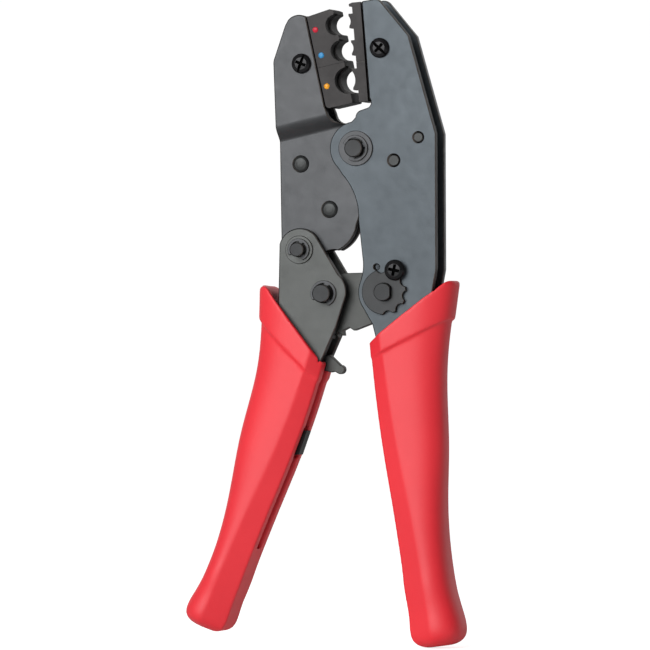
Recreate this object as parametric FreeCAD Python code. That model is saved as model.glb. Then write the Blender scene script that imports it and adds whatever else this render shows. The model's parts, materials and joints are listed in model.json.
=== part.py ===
import FreeCAD
import Part
import math
import os

# Ratchet crimping tool for insulated terminals, standing on its grip ends.
# Units are millimetres. +Z runs from the grips to the jaws, the tool's front faces -Y.
# Outlines are written as (x, z) seen from the front, measured from the main pivot.
# The finished tool has its origin at the bottom centre of its bounding box.

V = FreeCAD.Vector

# Place of the main pivot above the bottom centre of the tool.
PIVOT_X = 12.64
PIVOT_Z = 173.95

# Pivots, measured from the main pivot.
HANDLE_PIVOT = (-20.4, -35.3)
TOGGLE = (-11.6, -50.6)
ECCENTRIC = (10.5, -50.1)
PAWL_PIVOT = (-20.6, -71.6)
ECCENTRIC_THROW = 0.7

# Layers, as distances from the middle plane.
FRAME_IN = 4.5
FRAME_OUT = 7.5
JAW_THICK = 2.7
JAW_LOW_IN = 1.5
JAW_HIGH_IN = 4.7
LINK_HALF = 2.0
PAWL_HALF = 1.6
DIE_HALF = 6.6

# Pins, screws and their fits.
RUNNING_FIT = 0.05
MAIN_PIN_R = 3.15
HANDLE_PIN_R = 2.5
TOGGLE_PIN_R = 3.15
PAWL_PIN_R = 1.5
JOURNAL_R = 4.8
ECCENTRIC_R = 3.9
STUB_R = 3.1
TAIL_R = 3.4
BACK_RING_R = 6.2
PIN_REACH = 4.2
STUB_REACH = 2.4
STUB_FLAT = 0.5
PIN_EDGE = 0.2
PIN_HEAD_LIP = 2.2
PIN_HEAD_THICK = 1.8
WASHER_THICK = 0.8
CLIP_THICK = 0.8
CLIP_GROOVE = 0.6
CLIP_GAP = 0.45
CLIP_LIP = 1.4
DIE_SCREW_HEAD_R = 3.5
DIE_SCREW_HEAD = 1.7
DIE_SCREW_R = 2.0
MOVING_SCREW_TURN_DEG = 111.0
FIXED_SCREW_TURN_DEG = 43.0
LOCK_SCREW_HEAD_R = 3.65
LOCK_SCREW_HEAD = 1.9
LOCK_SCREW_R = 1.5
LOCK_SCREW_TURN_DEG = 12.0
MAIN_WASHER_R = 6.1
HANDLE_WASHER_R = 4.9

# Bushes: the walls at the eccentric, the toggle and the pawl, and their gap at each end.
BUSH_WALLS = (1.6, 2.4, 1.3)
BUSH_GAP = 0.15

# The toggle pin's hole in the link is wide, because that pivot closes the linkage.
OPEN_PIVOT_R = 4.15

# Jaw offset bend: where it starts and ends, measured across it from the main pivot.
BEND_SLOPE_DEG = 13.0
BEND_START = 9.1
BEND_END = 12.9
BEND_RADIUS = 1.5

# Moving die: bottom corner of its seat, its lean, and its nests (centre, radius, floor).
# The front stage closes on the insulation and the back stage on the conductor.
MOVING_SEAT = (-11.4, 14.7)
MOVING_LEAN_DEG = 12.3
MOVING_TIP = 10.0
HORN_ROUND = 0.5
MOVING_BOTTOM = -0.9
MOVING_CORNER = 1.3
MOVING_TOP = 32.8
TOP_SLOPE = 0.8
TOP_SLOPE_OUT = 1.2
FRONT_NESTS = [(7.1, 4.7, 5.2), (17.75, 3.6, 6.0), (26.95, 3.65, 6.1)]
BACK_NESTS = [(7.1, 4.1, 6.2), (17.95, 3.4, 6.7), (27.05, 3.4, 6.8)]
STAGE_Y = -1.4
STAGE_GAP = 0.3
DOT_R = 1.0

# Fixed die: bottom corner of its seat, its lean, and its lands (low, high, tip, middle).
FIXED_SEAT = (4.1, 16.8)
FIXED_LEAN_DEG = 4.5
FIXED_NOTCH = 3.2
FIXED_BOTTOM = -0.4
FIXED_TOP = 34.4
FRONT_LANDS = [(3.9, 11.4, 5.0, 4.0), (16.0, 21.3, 4.5, 3.8), (25.5, 30.6, 4.7, 4.1)]
BACK_LANDS = [(4.6, 10.8, 5.0, 4.1), (16.5, 20.6, 4.5, 3.9), (25.9, 30.2, 4.7, 4.2)]
HOOK_LOW = 33.1
HOOK_OUT = 4.3
HOOK_SLOPE = 1.2
LAND_FLAT = 0.8
TONGUE = 11.0
DIE_GROOVE = 13.6
SEAT_GAP = 0.3

# Die screws, measured from the main pivot.
MOVING_SCREW = (-19.6, 29.7)
FIXED_SCREW = (8.6, 34.9)

# Rivets, as (x, z, radius).
FRAME_RIVETS = [(22.4, 3.7, 1.6), (13.6, -4.3, 1.85)]
JAW_RIVETS = [(-20.8, -5.3, 2.7), (-10.4, -21.2, 2.7)]
RIVET_RING = 0.3
RIVET_DOME = 0.6
TANG_RIVETS = [(18.6, -92.0, 2.0), (21.6, -128.0, 2.0)]
HANDLE_RIVETS = [(-30.6, -101.5, 2.0), (-38.6, -125.0, 2.0)]

# Adjuster wheel: radius, thickness, its scallops and the lock screw's place on it.
WHEEL_R = 7.9
WHEEL_THICK = 1.8
SCALLOP_R = 1.9
SCALLOP_PITCH_DEG = 35.5
SCALLOP_COUNT = 6
LOCK_ANGLE_DEG = 62.0
LOCK_REACH = 8.6

# Ratchet teeth round the toggle pivot.
TOOTH_ROOT = 14.1
TOOTH_TIP = 15.9
TOOTH_PITCH_DEG = 7.4
TOOTH_COUNT = 5
FIRST_TOOTH_DEG = -67.0

# Springs.
SPRING_POST = (-23.8, -40.0)
SPRING_ANCHOR = (-30.6, -81.0)
PAWL_HOOK = (-24.0, -76.5)
PAWL_ANCHOR = (-28.0, -91.0)
POST_R = 1.1
PAWL_ANCHOR_R = 0.8
PAWL_HOOK_R = 0.7
FORK_HALF = 0.6
FORK_DEPTH = 8.0
FORK_R = 1.65
# Each spring: coil radius, wire radius, pitch and the radius of its ring hooks.
RETURN_COIL = (1.55, 0.3, 1.0, 1.6)
PAWL_COIL = (1.4, 0.25, 0.75, 1.2)

# Grips: the sides seen from the front, top to bottom, then their cross-section.
MOVING_OUTER = [(-35.6, -40.0), (-35.6, -60.0), (-37.2, -76.6), (-42.8, -98.3),
                (-48.0, -124.9), (-55.7, -148.4), (-61.7, -158.8)]
MOVING_INNER = [(-5.4, -52.0), (-11.4, -72.0), (-15.4, -85.4), (-23.0, -106.5),
                (-33.5, -131.3), (-42.4, -153.5), (-46.9, -165.4)]
FIXED_OUTER = [(35.3, -40.0), (32.3, -60.0), (30.7, -75.0), (31.1, -104.0),
               (30.7, -122.0), (32.4, -146.0), (37.1, -165.6)]
FIXED_INNER = [(1.6, -42.0), (4.4, -62.0), (5.8, -76.0), (9.9, -107.0),
               (13.4, -127.0), (16.5, -147.0), (19.3, -168.0)]
GRIP_DEPTH = 10.2
GRIP_SWELL = 1.0
INNER_FLAT = 7.3
CREASE_TOP = 4.0
CREASE_GROWTH = 4.0
SECTION_SQUARE = 0.72
STATIONS = 12
CAP_STEPS = 5
CAP_POWER = 2.9
MOVING_CAP = 6.0
FIXED_CAP = 6.9
COLLAR_STEP = 0.95
MOVING_INNER_SHARE = 0.4
FIXED_INNER_SHARE = 0.15
REST_Y = 11.05
CAVITY_GAP = 0.1
MOUTH_HALF = 8.7
MOUTH_DEPTH = 6.0
MOVING_MOUTH_X = -29.4
FIXED_MOUTH_X = 28.8
SLOT_HALF = 2.5
WINDOW_HALF = 3.4

# Collars: the rim and the step below it, each as two points from the outside in.
MOVING_RIM = [(-32.0, -48.5), (-11.8, -74.9)]
MOVING_STEP = [(-35.8, -59.5), (-12.8, -81.9)]
FIXED_RIM = [(31.8, -46.6), (7.4, -65.8)]
FIXED_STEP = [(34.6, -58.6), (6.3, -72.8)]


def point(x, y, z):
    """A point given from the main pivot, in the finished tool's frame."""
    return V(x + PIVOT_X, y, z + PIVOT_Z)


def turn(x, z, degrees):
    """The pair (x, z) turned anticlockwise as seen from the front."""
    angle = math.radians(degrees)
    return (x * math.cos(angle) - z * math.sin(angle),
            x * math.sin(angle) + z * math.cos(angle))


def polar(centre, radius, degrees):
    """The point at a radius and angle round a centre, seen from the front."""
    x, z = turn(radius, 0.0, degrees)
    return (centre[0] + x, centre[1] + z)


def outline_face(path, y):
    """A flat face. A step of one pair is a straight run, two pairs are an arc's middle and end."""
    edges = []
    start = path[0]
    for step in path[1:] + [path[0]]:
        if isinstance(step[0], tuple):
            middle, end = step
            arc = Part.Arc(point(start[0], y, start[1]), point(middle[0], y, middle[1]),
                           point(end[0], y, end[1]))
            edges.append(arc.toShape())
        else:
            end = step
            if math.dist(start, end) > 1e-6:
                edges.append(Part.makeLine(point(start[0], y, start[1]),
                                           point(end[0], y, end[1])))
        start = end
    return Part.Face(Part.Wire(edges))


def prism(path, y_front, y_back):
    """An outline given thickness, from its front plane to its back plane."""
    return outline_face(path, y_front).extrude(V(0, y_back - y_front, 0))


def rod(centre, radius, y_front, y_back):
    """A round bar along Y."""
    base = point(centre[0], y_front, centre[1])
    return Part.makeCylinder(radius, y_back - y_front, base, V(0, 1, 0))


def ring(centre, outer, inner, y_front, y_back):
    """A washer or a bush along Y."""
    return rod(centre, outer, y_front, y_back).cut(rod(centre, inner, y_front - 1, y_back + 1))


def turned(centre, profile):
    """A turned piece on an axis along Y, from (radius, y) points."""
    x, z = centre
    corners = [point(x + radius, y, z) for radius, y in profile]
    face = Part.Face(Part.makePolygon(corners + corners[:1]))
    return face.revolve(point(x, 0, z), V(0, 1, 0), 360)


def join(shapes):
    """Several overlapping or touching solids made one."""
    whole = shapes[0]
    for shape in shapes[1:]:
        whole = whole.fuse(shape)
    return whole.removeSplitter()


def mirror_back(shape):
    """The same piece on the other side of the middle plane."""
    return shape.mirror(V(0, 0, 0), V(0, 1, 0))


def export(shape, name):
    """One STEP file for one node."""
    shape.exportStep("parts/" + name + ".step")


# Frame plates.

def frame_outline():
    """The fixed jaw and fixed handle plate, anticlockwise from the top of the die seat."""
    lobe = 9.4
    bulge = 9.7
    return [
        (2.1, 51.2), (4.9, 17.4),
        ((5.3, 15.4), (4.2, 14.1)), (1.8, 13.3),
        ((0.3, 12.3), (-0.2, 10.8)), polar((0, 0), lobe, 100),
        (polar((0, 0), lobe, 160), polar((0, 0), lobe, 226)), (-5.0, -9.1),
        ((-1.0, -15.2), (0.9, -25.0)), (2.5, -39.6),
        ((2.4, -42.8), polar(ECCENTRIC, bulge, 160)),
        (polar(ECCENTRIC, bulge, 187), polar(ECCENTRIC, bulge, 215)), (5.9, -61.4),
        (8.6, -72.0), (13.9, -107.0), (19.0, -140.0), (27.0, -140.0), (25.3, -122.0),
        (25.5, -104.0), (25.6, -70.0), (27.0, -52.0), (28.8, -42.2), (28.6, 5.1), (18.8, 39.2), (8.9, 51.0),
        ((7.6, 51.8), (6.0, 51.8)),
    ]


def frame_plate():
    """The front frame plate with its holes."""
    plate = prism(frame_outline(), -FRAME_OUT, -FRAME_IN)
    holes = [
        rod((0, 0), MAIN_PIN_R, -FRAME_OUT - 1, 0),
        rod(ECCENTRIC, JOURNAL_R, -FRAME_OUT - 1, 0),
        rod(FIXED_SCREW, DIE_SCREW_R, -FRAME_OUT - 1, 0),
        rod(polar(ECCENTRIC, LOCK_REACH, LOCK_ANGLE_DEG), LOCK_SCREW_R, -FRAME_OUT - 1, 0),
        rod((7.4, -41.4), 1.0, -FRAME_OUT - 1, 0),
    ]
    for x, z, radius in FRAME_RIVETS + TANG_RIVETS:
        holes.append(rod((x, z), radius, -FRAME_OUT - 1, 0))
        holes.append(rod((x, z), radius + RIVET_RING, -FRAME_OUT - 1, -FRAME_OUT + RIVET_RING))
    for hole in holes:
        plate = plate.cut(hole)
    return plate


def rivets(places, half_length, dome):
    """Rivets, with flush or domed ends, through two plates and what is between them."""
    group = []
    for x, z, radius in places:
        group.append(turned((x, z), [
            (0, -half_length - dome), (radius * 0.4, -half_length - dome * 0.92),
            (radius * 0.75, -half_length - dome * 0.65), (radius, -half_length),
            (radius, half_length), (radius * 0.75, half_length + dome * 0.65),
            (radius * 0.4, half_length + dome * 0.92), (0, half_length + dome),
        ]))
    return Part.makeCompound(group)


def frame_spacer():
    """The strip that the two visible rivets hold between the frame plates."""
    strip = prism([(11.0, -8.0), (16.5, -8.0), (26.0, 0.6), (26.0, 8.0), (20.6, 8.0), (10.6, -1.2)],
                  -FRAME_IN, FRAME_IN)
    for x, z, radius in FRAME_RIVETS:
        strip = strip.cut(rod((x, z), radius, -10, 10))
    return strip


def tang_spacer():
    """The bar that keeps the frame plates apart inside the fixed grip."""
    bar = prism([(14.6, -86.0), (23.0, -86.0), (24.4, -134.0), (19.2, -134.0)],
                -FRAME_IN, FRAME_IN)
    for x, z, radius in TANG_RIVETS:
        bar = bar.cut(rod((x, z), radius, -10, 10))
    return bar


# Moving jaw plates.

def jaw_outline():
    """The moving jaw plate seen from the front, from its top corner anticlockwise."""
    lobe = 7.4
    return [
        (-18.3, 46.3), (-19.9, 46.7), ((-22.6, 46.4), (-24.6, 45.0)), (-25.7, 43.0), (-29.6, 31.6),
        ((-29.9, 30.4), (-29.9, 29.2)), (-29.1, 7.6), (-28.4, 2.2), (-27.8, -34.4),
        (polar(HANDLE_PIVOT, lobe, 250), polar(HANDLE_PIVOT, lobe, 318)), (-12.6, -36.6),
        ((-9.0, -35.4), (-7.4, -35.6)), ((-3.6, -32.8), (-0.6, -26.4)),
        (2.4, -18.0), (8.2, -5.0), ((9.6, 0.0), (6.6, 6.4)), (-6.2, 9.0),
        ((-9.1, 10.0), (-10.6, 12.6)), (-11.4, 14.5),
    ]


def bend_section(y_low, y_high, thick):
    """The plate's section across its offset bend, as (distance from the pivot, y)."""
    slope = math.atan2(y_high - y_low, BEND_END - BEND_START)
    shift = thick * math.tan(slope / 2)
    return [
        (-60.0, -y_low), (BEND_START + shift, -y_low), (BEND_END + shift, -y_high),
        (60.0, -y_high), (60.0, -y_high - thick), (BEND_END, -y_high - thick),
        (BEND_START, -y_low - thick), (-60.0, -y_low - thick),
    ]


def rounded_bends(sheet, low_bend, high_bend):
    """Both bends rounded, each given as its corner on the inner face and its corner on the outer."""
    hollow = BEND_RADIUS
    crown = BEND_RADIUS + JAW_THICK
    for corner, radius in ((low_bend[0], crown), (low_bend[1], hollow),
                           (high_bend[0], hollow), (high_bend[1], crown)):
        edges = []
        for edge in sheet.Edges:
            if abs(edge.Length - 120) < 1 and edge.distToShape(Part.Vertex(corner))[0] < 0.01:
                edges.append(edge)
        sheet = sheet.makeFillet(radius, edges)
    return sheet


def jaw_plate():
    """The front jaw plate, bent outwards above the main pivot."""
    across = turn(0.0, 1.0, BEND_SLOPE_DEG)
    along = turn(1.0, 0.0, BEND_SLOPE_DEG)
    corners = []
    for distance, y in bend_section(JAW_LOW_IN, JAW_HIGH_IN, JAW_THICK):
        corners.append(point(across[0] * distance - along[0] * 60, y,
                             across[1] * distance - along[1] * 60))
    sheet = Part.Face(Part.makePolygon(corners + corners[:1]))
    sheet = sheet.extrude(V(along[0] * 120, 0, along[1] * 120))
    sheet = rounded_bends(sheet, (corners[1], corners[6]), (corners[2], corners[5]))
    plate = sheet.common(prism(jaw_outline(), -12, 0))
    holes = [
        rod((0, 0), MAIN_PIN_R + RUNNING_FIT, -12, 0),
        rod(HANDLE_PIVOT, HANDLE_PIN_R + RUNNING_FIT, -12, 0),
        rod(MOVING_SCREW, DIE_SCREW_R, -12, 0),
        rod(SPRING_POST, POST_R, -12, 0),
    ]
    for x, z, radius in JAW_RIVETS:
        holes.append(rod((x, z), radius, -12, 0))
    for hole in holes:
        plate = plate.cut(hole)
    return plate


def jaw_spacer():
    """The web between the lower halves of the two jaw plates."""
    web = prism([(-26.0, -1.0), (-4.0, 7.0), (6.0, 2.0), (6.0, -6.0), (-2.6, -24.0), (-8.0, -32.0),
                 (-16.0, -29.0), (-26.0, -26.0)], -JAW_LOW_IN, JAW_LOW_IN)
    web = web.cut(rod((0, 0), MAIN_PIN_R + 0.3, -10, 10))
    for x, z, radius in JAW_RIVETS:
        web = web.cut(rod((x, z), radius, -10, 10))
    return web


# Dies.

def die_place(seat, lean, toward):
    """A function from die measures (out from the seat, up the seat) to (x, z)."""
    def place(out, up):
        x, z = turn(out * toward, up, lean)
        return (seat[0] + x, seat[1] + z)
    return place


def moving_profile(place, nests):
    """The moving die's working outline, with three round nests between four rounded horns."""
    soft = HORN_ROUND
    near = soft * 0.3
    tip = MOVING_TIP
    turn_in = MOVING_CORNER * 0.3
    path = [place(SEAT_GAP, MOVING_BOTTOM + MOVING_CORNER),
            (place(SEAT_GAP + turn_in, MOVING_BOTTOM + turn_in),
             place(SEAT_GAP + MOVING_CORNER, MOVING_BOTTOM)),
            place(tip - soft, MOVING_BOTTOM),
            (place(tip - near, MOVING_BOTTOM + near), place(tip, MOVING_BOTTOM + soft))]
    for centre, radius, floor in nests:
        mouth = min(floor + radius, tip - soft)
        half = math.sqrt(radius ** 2 - (floor + radius - mouth) ** 2)
        low = centre - half
        high = centre + half
        path.append(place(tip, low - soft))
        path.append((place(tip - near, low - near), place(tip - soft, low)))
        path.append(place(mouth, low))
        path.append((place(floor, centre), place(mouth, high)))
        path.append(place(tip - soft, high))
        path.append((place(tip - near, high + near), place(tip, high + soft)))
    path.append(place(tip, MOVING_TOP - TOP_SLOPE))
    path.append(place(tip - TOP_SLOPE_OUT, MOVING_TOP))
    path.append(place(SEAT_GAP, MOVING_TOP - TOP_SLOPE))
    return path


def groove(place, up, reach, y_front):
    """A shallow line cut across a die's face."""
    low = up - 0.15
    high = up + 0.15
    return prism([place(-1, low), place(reach, low), place(reach, high), place(-1, high)],
                 y_front, y_front + 0.5)


def dot_places():
    """Where the coloured size dots sit on the moving die."""
    place = die_place(MOVING_SEAT, MOVING_LEAN_DEG, 1)
    return [place(2.15, 6.7), place(2.5, 17.7), place(2.35, 26.9)]


def moving_die():
    """The two-stage die block, and its tongue between the jaw plates."""
    place = die_place(MOVING_SEAT, MOVING_LEAN_DEG, 1)
    front = prism(moving_profile(place, FRONT_NESTS), -DIE_HALF, STAGE_Y)
    back = prism(moving_profile(place, BACK_NESTS), STAGE_Y, DIE_HALF)
    tongue = prism([place(-TONGUE, 6.0), place(-TONGUE + 3.0, 1.0), place(SEAT_GAP, 0.6),
                    place(SEAT_GAP, 31.6), place(-6.0, 30.6), place(-TONGUE, 24.0)],
                   -JAW_HIGH_IN, JAW_HIGH_IN)
    die = join([front, back, tongue])
    die = die.cut(rod(MOVING_SCREW, DIE_SCREW_R, -20, 20))
    die = die.cut(groove(place, DIE_GROOVE, MOVING_TIP + 1, -DIE_HALF - 0.25))
    for centre in dot_places():
        die = die.cut(rod(centre, DOT_R, -DIE_HALF - 1, -DIE_HALF + 0.4))
    return die


def size_dot(centre):
    """A small domed colour mark set into the die's front face."""
    return turned(centre, [(0, -DIE_HALF + 0.4), (DOT_R, -DIE_HALF + 0.4), (DOT_R, -DIE_HALF - 0.1),
                           (DOT_R * 0.7, -DIE_HALF - 0.35), (0, -DIE_HALF - 0.5)])


def fixed_profile(place, lands, hook_out):
    """The fixed die's working outline, with three shallow lands between notches for the horns."""
    path = [place(0.0, FIXED_BOTTOM), place(FIXED_NOTCH, FIXED_BOTTOM)]
    for low, high, tip, middle in lands:
        path.append(place(FIXED_NOTCH, low))
        path.append(place(tip, low))
        path.append(place(tip, low + LAND_FLAT))
        path.append((place(middle, (low + high) / 2), place(tip, high - LAND_FLAT)))
        path.append(place(tip, high))
        path.append(place(FIXED_NOTCH, high))
    path.append(place(FIXED_NOTCH, HOOK_LOW))
    path.append(place(hook_out, HOOK_LOW))
    path.append(place(hook_out, FIXED_TOP - 0.4))
    path.append(place(hook_out - HOOK_SLOPE, FIXED_TOP))
    path.append(place(0.0, FIXED_TOP))
    return path


def fixed_die():
    """The two-stage die block, and its tongue between the frame plates."""
    place = die_place(FIXED_SEAT, FIXED_LEAN_DEG, -1)
    front = prism(fixed_profile(place, FRONT_LANDS, HOOK_OUT), -DIE_HALF, STAGE_Y - STAGE_GAP)
    back = prism(fixed_profile(place, BACK_LANDS, FIXED_NOTCH), STAGE_Y - STAGE_GAP, DIE_HALF)
    tongue = prism([place(0.0, 0.2), place(0.0, 32.6), place(-TONGUE + 6, 29.0),
                    place(-TONGUE, 24.0), place(-TONGUE, 4.0)], -FRAME_IN, FRAME_IN)
    die = join([front, back, tongue])
    die = die.cut(rod(FIXED_SCREW, DIE_SCREW_R, -20, 20))
    return die.cut(groove(place, DIE_GROOVE, 7, -DIE_HALF - 0.25))


def cross_screw(centre, head_radius, head_height, shank_radius, y_seat, y_end, turned_deg, slotted):
    """A pan-head screw with a cross recess and maybe a slot, its head in front of y_seat."""
    screw = turned(centre, [
        (0, y_seat - head_height), (head_radius * 0.6, y_seat - head_height * 0.94),
        (head_radius * 0.88, y_seat - head_height * 0.66), (head_radius, y_seat - head_height * 0.3),
        (head_radius, y_seat), (shank_radius, y_seat), (shank_radius, y_end), (0, y_end),
    ])
    x, z = centre
    long_half = head_radius * 0.56
    short_half = head_radius * 0.15
    depth = head_height * 0.75
    slots = [(long_half, short_half, depth), (short_half, long_half, depth)]
    if slotted:
        slots.append((head_radius + 1, short_half * 0.7, head_height * 0.55))
    for half_x, half_z, deep in slots:
        corner = point(x - half_x, y_seat - head_height - 1, z - half_z)
        cutter = Part.makeBox(half_x * 2, deep + 1, half_z * 2, corner)
        cutter.rotate(point(x, 0, z), V(0, 1, 0), turned_deg)
        screw = screw.cut(cutter)
    return screw


# Pins and their clips.

def clip_place(washers):
    """The back face of a pin's clip, with or without a washer under it."""
    return -FRAME_OUT - (WASHER_THICK if washers else 0.0) - 0.05


def headed_pin(centre, radius, washers):
    """A pin with a head at the back and a clip groove at the front."""
    back = clip_place(washers)
    front = back - CLIP_THICK
    groove_radius = radius - CLIP_GROOVE
    head = radius + PIN_HEAD_LIP
    tip = -FRAME_OUT - PIN_REACH
    return turned(centre, [
        (0, tip), (radius - PIN_EDGE, tip), (radius, tip + PIN_EDGE), (radius, front),
        (groove_radius, front), (groove_radius, back), (radius, back), (radius, FRAME_OUT),
        (head, FRAME_OUT), (head, FRAME_OUT + PIN_HEAD_THICK - 0.4),
        (head - 0.4, FRAME_OUT + PIN_HEAD_THICK), (0, FRAME_OUT + PIN_HEAD_THICK),
    ])


def sector(centre, outer, inner, low_deg, high_deg, y_front, y_back):
    """A piece of a flat ring between two angles."""
    middle_deg = (low_deg + high_deg) / 2
    path = [
        polar(centre, inner, low_deg), polar(centre, outer, low_deg),
        (polar(centre, outer, middle_deg), polar(centre, outer, high_deg)),
        polar(centre, inner, high_deg),
        (polar(centre, inner, middle_deg), polar(centre, inner, low_deg)),
    ]
    return prism(path, y_front, y_back)


def retaining_clip(centre, radius, washers, facing_deg):
    """An E-clip: a bow with three prongs that reach into the pin's groove."""
    back = clip_place(washers)
    front = back - CLIP_THICK
    bow = radius + CLIP_GAP
    pieces = [sector(centre, radius + CLIP_LIP, bow, facing_deg + 40, facing_deg + 320, front, back)]
    for prong in (55, 180, 305):
        pieces.append(sector(centre, bow + 0.2, radius - CLIP_GROOVE, facing_deg + prong - 15,
                             facing_deg + prong + 15, front, back))
    return join(pieces)


def front_washer(centre, radius, hole_radius):
    """A flat washer on the front plate."""
    return ring(centre, radius, hole_radius, -FRAME_OUT - WASHER_THICK, -FRAME_OUT)


# Eccentric adjuster.

def throw_centre():
    """The axis of the eccentric pin's middle, which the link turns on."""
    return polar(ECCENTRIC, ECCENTRIC_THROW, 120)


def flat_cut(depth):
    """The space beside the flat on the eccentric pin's front stub."""
    corner = point(ECCENTRIC[0] + depth, -20, ECCENTRIC[1] - 10)
    return Part.makeBox(10, 20 - FRAME_OUT, 20, corner)


def eccentric_pin():
    """The adjusting pin: two journals, an eccentric middle and a front stub with a flat."""
    front = rod(ECCENTRIC, JOURNAL_R, -FRAME_OUT, -FRAME_IN)
    back = rod(ECCENTRIC, JOURNAL_R, FRAME_IN, FRAME_OUT + CLIP_THICK)
    middle = rod(throw_centre(), ECCENTRIC_R, -FRAME_IN, FRAME_IN)
    tail = rod(ECCENTRIC, TAIL_R, FRAME_OUT + CLIP_THICK, FRAME_OUT + 2 * CLIP_THICK)
    tip = -FRAME_OUT - WHEEL_THICK - STUB_REACH
    stub = turned(ECCENTRIC, [(0, tip), (STUB_R - PIN_EDGE, tip), (STUB_R, tip + PIN_EDGE),
                              (STUB_R, -FRAME_OUT), (0, -FRAME_OUT)])
    stub = stub.cut(flat_cut(STUB_R - STUB_FLAT))
    return join([front, middle, back, tail, stub])


def eccentric_clip():
    """The ring that keeps the eccentric pin from moving forwards."""
    step = FRAME_OUT + CLIP_THICK
    lip = ring(ECCENTRIC, BACK_RING_R, TAIL_R, step, step + CLIP_THICK)
    return join([lip, ring(ECCENTRIC, BACK_RING_R, JOURNAL_R, FRAME_OUT, step)])


def adjuster_wheel():
    """The star wheel, plain on its left and scalloped where the lock screw holds it."""
    wheel = rod(ECCENTRIC, WHEEL_R, -FRAME_OUT - WHEEL_THICK, -FRAME_OUT)
    for step in range(SCALLOP_COUNT):
        angle = LOCK_ANGLE_DEG + SCALLOP_PITCH_DEG * (1 - step)
        place = polar(ECCENTRIC, LOCK_REACH, angle)
        wheel = wheel.cut(rod(place, SCALLOP_R, -20, 0))
    hole = rod(ECCENTRIC, STUB_R, -20, 0).cut(flat_cut(STUB_R - STUB_FLAT))
    return wheel.cut(hole)


# Toggle link, pawl and springs.

def fork_slot(post, anchor, radius):
    """The slot in the pawl's tail where the spring's ring sits round a post."""
    away = math.degrees(math.atan2(anchor[1] - post[1], anchor[0] - post[0]))
    far = polar(post, FORK_DEPTH, away)
    mouth = prism([polar(post, radius, away + 90), polar(post, radius, away - 90),
                   polar(far, radius, away - 90), polar(far, radius, away + 90)],
                  -FORK_HALF, FORK_HALF)
    return rod(post, radius, -FORK_HALF, FORK_HALF).fuse(mouth)


def ratchet_link():
    """The toggle link with ratchet teeth round its toggle end."""
    big = 7.0
    path = [(ECCENTRIC[0], ECCENTRIC[1] + big), (TOGGLE[0], TOGGLE[1] + big),
            (polar(TOGGLE, big, 150), polar(TOGGLE, big, 205))]
    last = FIRST_TOOTH_DEG - TOOTH_PITCH_DEG * TOOTH_COUNT
    path.append(polar(TOGGLE, TOOTH_ROOT, last - 4))
    for tooth in range(TOOTH_COUNT, 0, -1):
        angle = FIRST_TOOTH_DEG - TOOTH_PITCH_DEG * tooth
        path.append(polar(TOGGLE, TOOTH_ROOT, angle))
        path.append(polar(TOGGLE, TOOTH_TIP, angle + TOOTH_PITCH_DEG * 0.75))
        path.append(polar(TOGGLE, TOOTH_ROOT, angle + TOOTH_PITCH_DEG * 0.98))
    path.append(polar(TOGGLE, TOOTH_ROOT, -57))
    path.append((-2.1, -63.6))
    path.append((4.2, -61.2))
    path.append(polar(ECCENTRIC, big, 292))
    path.append((polar(ECCENTRIC, big, 0), polar(ECCENTRIC, big, 89)))
    link = prism(path, -LINK_HALF, LINK_HALF)
    link = link.cut(rod(TOGGLE, OPEN_PIVOT_R, -10, 10))
    return link.cut(rod(throw_centre(), ECCENTRIC_R + RUNNING_FIT, -10, 10))


def ratchet_pawl():
    """The pawl: a tooth beside the ratchet and a lever that reaches out between the handles."""
    x, z = PAWL_PIVOT
    path = [
        (x - 3.2, z - 1.0), ((x - 3.0, z + 2.2), (x - 0.6, z + 3.4)), (-17.2, -66.9),
        (-16.2, -68.2), (-16.0, -70.4), (-12.6, -72.0), (-11.0, -72.0), (-7.2, -75.6),
        ((-5.7, -77.5), (-7.8, -78.7)), (-9.2, -77.9), (-10.6, -78.2), (-16.0, -76.8),
        (PAWL_HOOK[0] + 1.4, PAWL_HOOK[1] - 1.2),
        ((PAWL_HOOK[0] - 1.7, PAWL_HOOK[1] - 1.5), (PAWL_HOOK[0] - 1.6, PAWL_HOOK[1] + 0.6)),
    ]
    pawl = prism(path, -PAWL_HALF, PAWL_HALF)
    pawl = pawl.cut(rod(PAWL_PIVOT, PAWL_PIN_R + RUNNING_FIT, -10, 10))
    slot = fork_slot(PAWL_HOOK, PAWL_ANCHOR, FORK_R)
    slot = slot.cut(rod(PAWL_HOOK, PAWL_HOOK_R, -10, 10))
    return pawl.cut(slot)


def coil_spring(start, end, sizes):
    """An extension spring between two pins, with a ring hook at each end."""
    coil_radius, wire_radius, pitch, hook = sizes
    length = math.dist(start, end)
    body_start = hook * 2
    body_length = length - body_start * 2
    helix = Part.makeHelix(pitch, body_length, coil_radius)
    circle = Part.makeCircle(wire_radius, V(coil_radius, 0, 0), V(0, 1, 0))
    body = Part.Wire(helix).makePipeShell([Part.Wire(circle)], True, True)
    lower = Part.makeTorus(hook, wire_radius, V(0, 0, 0), V(0, 1, 0))
    upper = Part.makeTorus(hook, wire_radius, V(0, 0, length), V(0, 1, 0))
    body.translate(V(0, 0, body_start))
    stalks = []
    for level, away in ((hook, 1), (length - hook, -1)):
        stalks.append(Part.makeCylinder(wire_radius, hook * 1.2, V(0, 0, level), V(0, 0, away)))
        across = V(0, 0, level + away * hook * 1.1)
        stalks.append(Part.makeCylinder(wire_radius, coil_radius, across, V(1, 0, 0)))
    spring = join([body, lower, upper] + stalks)
    lean = math.degrees(math.atan2(end[0] - start[0], end[1] - start[1]))
    spring.rotate(V(0, 0, 0), V(0, 1, 0), lean)
    spring.translate(point(start[0], 0, start[1]))
    return spring


# Moving handle plates.

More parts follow.
